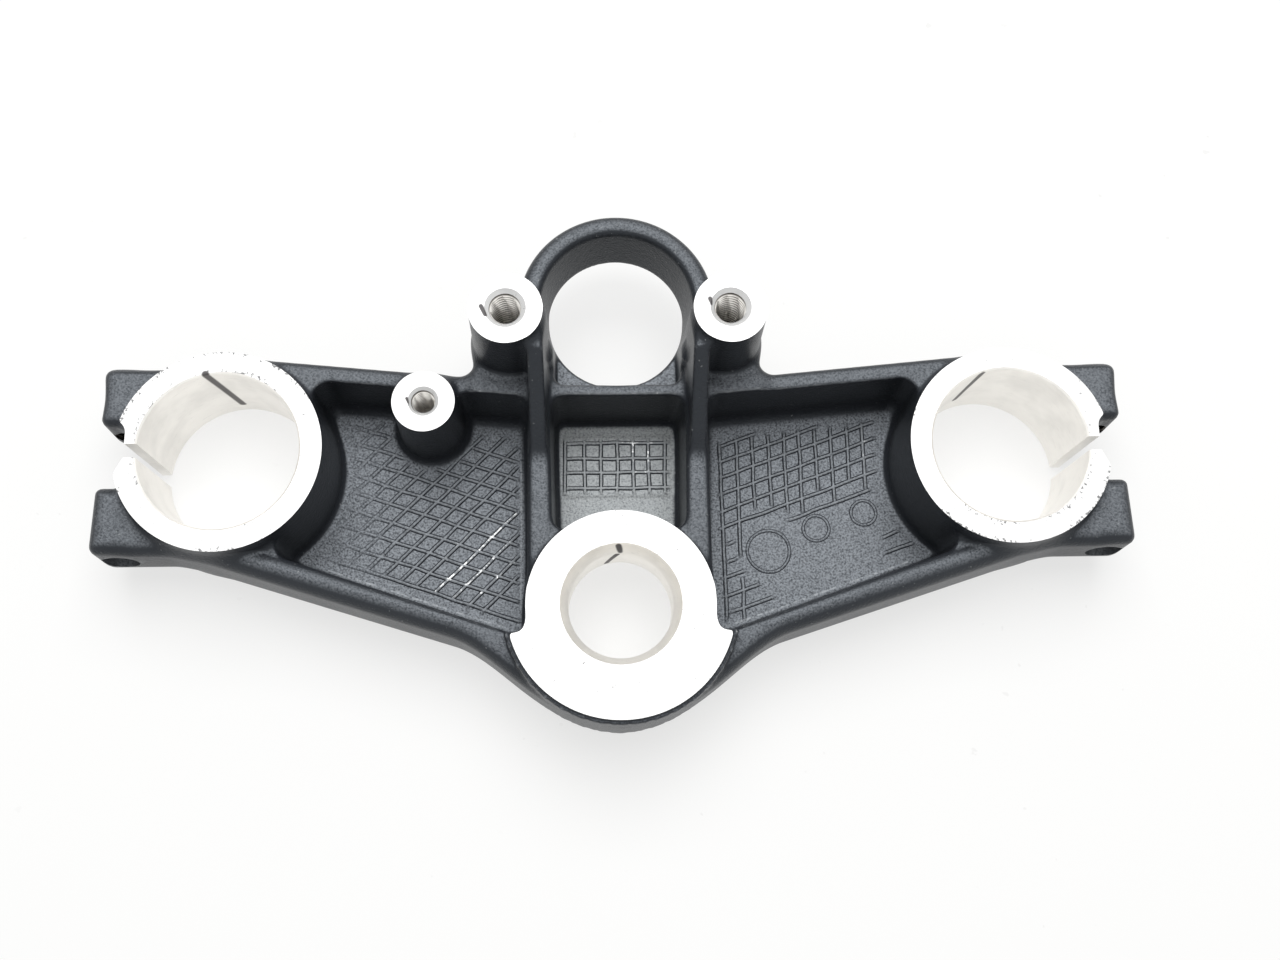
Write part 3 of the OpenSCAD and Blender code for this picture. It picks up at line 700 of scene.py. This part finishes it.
class Net:
    """Builds a material's nodes. Sockets and plain numbers can both be given as inputs."""

    def __init__(self, mat):
        mat.use_nodes = True
        self.tree = mat.node_tree
        self.tree.nodes.clear()
        out = self.tree.nodes.new("ShaderNodeOutputMaterial")
        self.bsdf = self.tree.nodes.new("ShaderNodeBsdfPrincipled")
        self.tree.links.new(self.bsdf.outputs[0], out.inputs[0])
        coords = self.tree.nodes.new("ShaderNodeTexCoord").outputs
        self.place, self.normal = coords["Object"], coords["Normal"]

    def node(self, kind, inputs=(), **settings):
        n = self.tree.nodes.new(kind)
        for key, value in settings.items():
            setattr(n, key, value)
        for i, value in enumerate(inputs):
            self.put(n.inputs[i], value)
        return n

    def put(self, socket, value):
        if isinstance(value, bpy.types.NodeSocket):
            self.tree.links.new(value, socket)
        elif value is not None:
            socket.default_value = value

    def math(self, operation, *inputs, clamp=False):
        return self.node("ShaderNodeMath", inputs, operation=operation, use_clamp=clamp).outputs[0]

    def vec(self, operation, *inputs):
        n = self.node("ShaderNodeVectorMath", inputs, operation=operation)
        return n.outputs["Value" if operation in ("LENGTH", "DOT_PRODUCT", "DISTANCE") else "Vector"]

    def noise(self, scale, detail=2.0, rough=0.5, at=None):
        n = self.node("ShaderNodeTexNoise")
        self.put(n.inputs["Vector"], at or self.place)
        n.inputs["Scale"].default_value = scale
        n.inputs["Detail"].default_value = detail
        n.inputs["Roughness"].default_value = rough
        return n.outputs["Fac"]

    def ramp(self, value, low, high, to_low=0.0, to_high=1.0):
        """Maps low..high to to_low..to_high with a soft step."""
        inputs = (value, low, high, to_low, to_high)
        return self.node("ShaderNodeMapRange", inputs, interpolation_type="SMOOTHSTEP").outputs[0]

    def mix(self, fac, a, b):
        n = self.node("ShaderNodeMix", data_type="RGBA")
        self.put(n.inputs[0], fac)
        self.put(n.inputs[6], a)
        self.put(n.inputs[7], b)
        return n.outputs[2]

    def blend(self, fac, a, b):
        """Plain number between a and b."""
        n = self.node("ShaderNodeMix", data_type="FLOAT")
        self.put(n.inputs[0], fac)
        self.put(n.inputs[2], a)
        self.put(n.inputs[3], b)
        return n.outputs[0]

    def bump(self, height, distance, strength=1.0, normal=None):
        n = self.node("ShaderNodeBump")
        n.inputs["Strength"].default_value = strength
        n.inputs["Distance"].default_value = distance
        self.put(n.inputs["Height"], height)
        self.put(n.inputs["Normal"], normal)
        return n.outputs[0]

    def stroke(self, a, b, radius, soft=0.3):
        """1 within a radius of the line from a to b, all in millimetres, and 0 away from it."""
        a, b = Vector(a) * MM, Vector(b) * MM
        along = b - a
        rel = self.vec("SUBTRACT", self.place, tuple(a))
        t = self.math("DIVIDE", self.vec("DOT_PRODUCT", rel, tuple(along)), along.length_squared, clamp=True)
        scaled = self.node("ShaderNodeVectorMath", operation="SCALE")
        scaled.inputs[0].default_value = tuple(along)
        self.put(scaled.inputs["Scale"], t)
        far = self.vec("DISTANCE", rel, scaled.outputs[0])
        edge = radius * MM
        return self.ramp(far, edge * (1 + soft), edge * (1 - soft))

    def any(self, masks):
        """The strongest of some masks."""
        out = masks[0]
        for m in masks[1:]:
            out = self.math("MAXIMUM", out, m)
        return out

    def finish(self, color, metallic, roughness, normal, specular=0.5, tint=None):
        self.put(self.bsdf.inputs["Base Color"], color)
        self.put(self.bsdf.inputs["Metallic"], metallic)
        self.put(self.bsdf.inputs["Roughness"], roughness)
        self.put(self.bsdf.inputs["Normal"], normal)
        self.bsdf.inputs["Specular IOR Level"].default_value = specular
        if tint:
            self.bsdf.inputs["Specular Tint"].default_value = tint


# Thin painted highlights along the foot of the pocket walls, in millimetres
FOOT_HIGHLIGHTS = (((-70.0, 12.6, 5.5), (-25.4, -2.5, 5.5)), ((-23.7, 0.5, 5.5), (-23.7, 44.0, 5.5)),
         ((25.6, -2.3, 5.5), (71.0, 13.1, 5.5)))


def paint_material(mat):
    """Grained satin paint, with a painted sheen in the grain where it lies level, a painted pool of light on
    the middle pocket's floor, sparse specks of dust, painted highlights at the foot of the pocket walls, and
    rubbed through at edges and ridges."""
    n = Net(mat)
    wear = n.node("ShaderNodeAttribute", attribute_name="wear").outputs["Fac"]
    x, y, z = n.node("ShaderNodeSeparateXYZ", (n.place,)).outputs
    up = n.node("ShaderNodeSeparateXYZ", (n.normal,)).outputs[2]
    level = n.ramp(up, 0.80, 0.99)
    high = n.ramp(z, 17 * MM, 22 * MM)
    # Painted pool of light: level floor of the middle pocket, lightened in place of a brighter light there
    middle = n.math("MULTIPLY", n.ramp(n.math("ABSOLUTE", x), 15.5 * MM, 13.5 * MM),
                    n.math("MULTIPLY", level, n.ramp(z, 9 * MM, 7 * MM)))
    middle = n.math("MULTIPLY", middle, n.ramp(y, 10 * MM, 16 * MM))
    grain = n.noise(2000, 2, 0.6)
    pebble = n.noise(600, 2, 0.5)
    patchy = n.noise(55, 3, 0.6)
    chips = n.noise(700, 5, 0.65)
    dust = n.ramp(n.noise(1150, 2, 0.5), 0.70, 0.76)
    bare = n.ramp(n.math("ADD", wear, chips), 1.30, 1.40)
    rubbed = n.ramp(n.math("ADD", wear, n.math("MULTIPLY", chips, 0.5)), 0.55, 1.3)
    color = n.mix(patchy, (0.016, 0.018, 0.022, 1), (0.028, 0.031, 0.036, 1))
    fleck = n.ramp(grain, 0.22, 0.70)
    # Painted sheen: the grain is lightened on level faces, half as much on high ones, for the light they
    # catch from above
    level_sheen = n.math("MULTIPLY", n.math("MULTIPLY", fleck, level), n.blend(high, 1.0, 0.5))
    color = n.mix(level_sheen, color, (0.262, 0.281, 0.305, 1))
    # Painted pool of light in the grain of the middle pocket's floor
    middle = n.math("MULTIPLY", middle, n.ramp(grain, 0.2, 0.75, 0.35, 1.0))
    color = n.mix(middle, color, (0.46, 0.48, 0.48, 1))
    color = n.mix(n.math("MULTIPLY", dust, 0.35), color, (0.40, 0.41, 0.41, 1))
    color = n.mix(rubbed, color, (0.27, 0.285, 0.30, 1))
    # Painted highlights along the foot of the pocket walls, broken up by noise
    foot_highlight = n.math("MULTIPLY", n.any([n.stroke(a, b, 0.22) for a, b in FOOT_HIGHLIGHTS]), n.ramp(chips, 0.42, 0.62))
    color = n.mix(n.math("MULTIPLY", foot_highlight, 0.7), color, (0.42, 0.44, 0.46, 1))
    color = n.mix(bare, color, (0.62, 0.63, 0.63, 1))
    rough = n.blend(patchy, 0.30, 0.40)
    rough = n.blend(bare, rough, 0.4)
    normal = n.bump(pebble, 0.00016, 0.5)
    normal = n.bump(grain, 0.00016, 1.0, normal)
    n.finish(color, n.math("MULTIPLY", bare, 0.6), rough, normal, 0.32, (0.86, 0.93, 1.0, 1))


def from_axis(n, cx, cy, mirrored=True):
    """Distance from an upright axis, or from the nearer of two mirrored ones, in metres."""
    x, y, _ = n.node("ShaderNodeSeparateXYZ", (n.place,)).outputs
    x = n.math("SUBTRACT", n.math("ABSOLUTE", x) if mirrored else x, cx * MM)
    y = n.math("SUBTRACT", y, cy * MM)
    return n.math("SQRT", n.math("ADD", n.math("MULTIPLY", x, x), n.math("MULTIPLY", y, y)))


def thread_material(mat):
    """Bright crests, and painted shade in the grooves."""
    n = Net(mat)
    tall = n.math("DIVIDE", from_axis(n, *BOSS), 3.95 * MM)
    small = n.math("DIVIDE", from_axis(n, *GUIDE, mirrored=False), 2.95 * MM)
    # Painted shade: the metal is darker nearer the axis, in the grooves of the thread
    groove = n.ramp(n.math("MINIMUM", tall, small), 0.86, 0.96)
    color = n.mix(groove, (0.90, 0.875, 0.83, 1), (0.10, 0.09, 0.08, 1))
    n.finish(color, 1.0, n.blend(groove, 0.3, 0.5), None)


def metal_material(mat, base, low, high, metallic, streak, speckled=0.0):
    """Bare machined metal with a roughness from low to high, tool marks squeezed along z by streak, ink, and
    specks of dirt, most of them near the edges of the clamp rings."""
    n = Net(mat)
    far = from_axis(n, *FORK)
    near_out = n.math("MULTIPLY", n.ramp(far, (RING_R - 1.4) * MM, (RING_R - 0.1) * MM),
                      n.ramp(far, 27 * MM, 26 * MM))
    near_in = n.ramp(far, (FORK_R + 2.0) * MM, (FORK_R + 0.4) * MM)
    specks = n.noise(1300, 3, 0.7)
    clumps = n.noise(60, 2, 0.5)
    edge = n.math("MULTIPLY", n.math("MAXIMUM", near_out, near_in), n.ramp(clumps, 0.42, 0.6))
    pits = n.ramp(n.math("ADD", specks, n.math("MULTIPLY", edge, 0.15)), 0.66, 0.71)
    pits = n.math("MULTIPLY", pits, speckled)
    patchy = n.noise(70, 3, 0.6)
    at = n.vec("MULTIPLY", n.place, (1, 1, streak))
    lines = n.noise(300, 4, 0.7, at)
    ink = n.any([n.stroke(a, b, r) for a, b, r in INK])
    color = n.mix(n.ramp(patchy, 0.4, 0.75), base, tuple(0.86 * c for c in base[:3]) + (1,))
    color = n.mix(n.ramp(lines, 0.58, 0.8), color, tuple(0.72 * c for c in base[:3]) + (1,))
    color = n.mix(n.math("MULTIPLY", pits, 0.75), color, (0.06, 0.062, 0.066, 1))
    color = n.mix(n.math("MULTIPLY", ink, 0.92), color, (0.03, 0.024, 0.026, 1))
    rough = n.blend(lines, low, high)
    normal = n.bump(lines, 0.00003, 0.5)
    stained = n.math("MAXIMUM", ink, pits)
    shine = n.math("MULTIPLY", metallic, n.math("SUBTRACT", 1.0, n.math("MULTIPLY", stained, 0.9)))
    n.finish(color, shine, rough, normal, 0.4)


# Marks left by a pen on the machined faces and in the bores, in millimetres
INK = (((-95.8, 54.9, 28.2), (-94.4, 55.2, 17), 0.85), ((-94.4, 55.2, 17), (-92.9, 55.3, 5.5), 0.85),
       ((86.8, 54.5, 27.2), (85.8, 54.2, 18), 0.8), ((85.8, 54.2, 18), (84.9, 53.9, 9), 0.75),
       ((-0.4, 13.2, 27.9), (0.0, 12.7, 25.8), 0.7), ((-0.7, 12.0, 24.6), (-3.1, 11.7, 16.2), 0.65),
       ((-30.9, 65.2, 44), (-29.9, 63.2, 43.9), 0.5), ((20.8, 66.8, 44), (21.3, 65.6, 44), 0.5),
       ((-49.2, 48.8, 28), (-48.6, 47.6, 28), 0.35))


def floor_material():
    """Pale matt sheet. To the camera and in reflections it is nearer to white than it is to the light, and it
    keeps its shadow."""
    mat = bpy.data.materials.new("pale_floor")
    n = Net(mat)
    mottle = n.noise(9, 3, 0.5)
    specks = n.ramp(n.noise(230, 2, 0.6), 0.71, 0.74)
    thin = n.ramp(n.noise(14, 2, 0.5), 0.5, 0.62)
    color = n.mix(mottle, (0.88, 0.88, 0.87, 1), (0.91, 0.91, 0.90, 1))
    color = n.mix(n.math("MULTIPLY", n.math("MULTIPLY", specks, thin), 0.4), color, (0.4, 0.39, 0.37, 1))
    n.finish(color, 0.0, 0.75, n.bump(n.noise(300, 2), 0.0001, 0.2), 0.2)
    ray = n.node("ShaderNodeLightPath").outputs
    seen = n.any([ray["Is Camera Ray"], ray["Is Glossy Ray"], ray["Is Transmission Ray"]])
    glow = n.node("ShaderNodeEmission", ((1, 1, 0.995, 1), 1.0))
    share = n.math("MULTIPLY", seen, 0.7)
    both_ways = n.node("ShaderNodeMixShader", (share, n.bsdf.outputs[0], glow.outputs[0]))
    n.tree.links.new(both_ways.outputs[0], n.tree.nodes["Material Output"].inputs[0])
    return mat


def white_world():
    """Lights the part softly, and is white to the camera and in reflections."""
    world = bpy.data.worlds.new("world")
    world.use_nodes = True
    sky = world.node_tree
    back = sky.nodes["Background"]
    back.inputs["Color"].default_value = (1, 1, 1, 1)
    ray = sky.nodes.new("ShaderNodeLightPath").outputs
    seen = ray["Is Camera Ray"]
    for other in ("Is Glossy Ray", "Is Transmission Ray"):
        either = sky.nodes.new("ShaderNodeMath")
        either.operation = "MAXIMUM"
        sky.links.new(seen, either.inputs[0])
        sky.links.new(ray[other], either.inputs[1])
        seen = either.outputs[0]
    strength = sky.nodes.new("ShaderNodeMapRange")
    strength.inputs["To Min"].default_value = 0.38
    strength.inputs["To Max"].default_value = 1.0
    sky.links.new(seen, strength.inputs["Value"])
    sky.links.new(strength.outputs[0], back.inputs["Strength"])
    return world


def softbox():
    light = bpy.data.lights.new("softbox", "AREA")
    light.energy = 9.5
    light.size = 0.8
    ob = bpy.data.objects.new("softbox", light)
    ob.location = (0.0, 0.42, 0.88)
    ob.rotation_euler = (Vector((0, 0.03, 0)) - ob.location).to_track_quat("-Z", "Y").to_euler()
    bpy.context.scene.collection.objects.link(ob)


def camera():
    """Solved from the circles and the symmetry of the part in the photo."""
    at = (-0.006955, -0.048202, 0.322154)
    roll, yaw, pitch = -0.0186172, -0.0349249, 0.256050
    lens = bpy.data.cameras.new("camera")
    lens.sensor_width = 36
    lens.lens = 37.147
    ob = bpy.data.objects.new("camera", lens)
    bpy.context.scene.collection.objects.link(ob)
    turn = Matrix.Rotation(roll, 4, "Z") @ Matrix.Rotation(yaw, 4, "Y") @ Matrix.Rotation(pitch, 4, "X")
    ob.matrix_world = Matrix.Translation(at) @ turn
    bpy.context.scene.camera = ob


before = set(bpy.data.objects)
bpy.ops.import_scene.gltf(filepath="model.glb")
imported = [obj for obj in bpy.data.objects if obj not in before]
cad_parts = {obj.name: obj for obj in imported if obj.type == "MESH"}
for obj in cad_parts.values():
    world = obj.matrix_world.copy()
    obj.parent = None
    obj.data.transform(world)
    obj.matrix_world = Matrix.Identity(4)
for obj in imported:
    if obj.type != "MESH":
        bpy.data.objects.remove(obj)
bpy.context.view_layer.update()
ob = build()
print("triangles", sum(len(p.vertices) - 2 for p in ob.data.polygons))
ob.name = "fork_bridge_casting"
ob.data.transform(Matrix.Scale(MM, 4))

paint_material(KINDS[PAINT])
metal_material(KINDS[FACED], (0.70, 0.70, 0.695, 1), 0.46, 0.58, 0.6, 1, speckled=1.0)
metal_material(KINDS[BORED], (0.95, 0.93, 0.89, 1), 0.34, 0.5, 1.0, 9)
thread_material(KINDS[THREAD])

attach(ob, "root")
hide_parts("fork_bridge")

floor = make_mesh("floor", [(-3, -3, 0), (3, -3, 0), (3, 3, 0), (-3, 3, 0)], [(0, 1, 2, 3)])
floor.data.materials.append(floor_material())

bpy.context.scene.view_settings.view_transform = "Standard"
bpy.context.scene.world = white_world()
softbox()
camera()
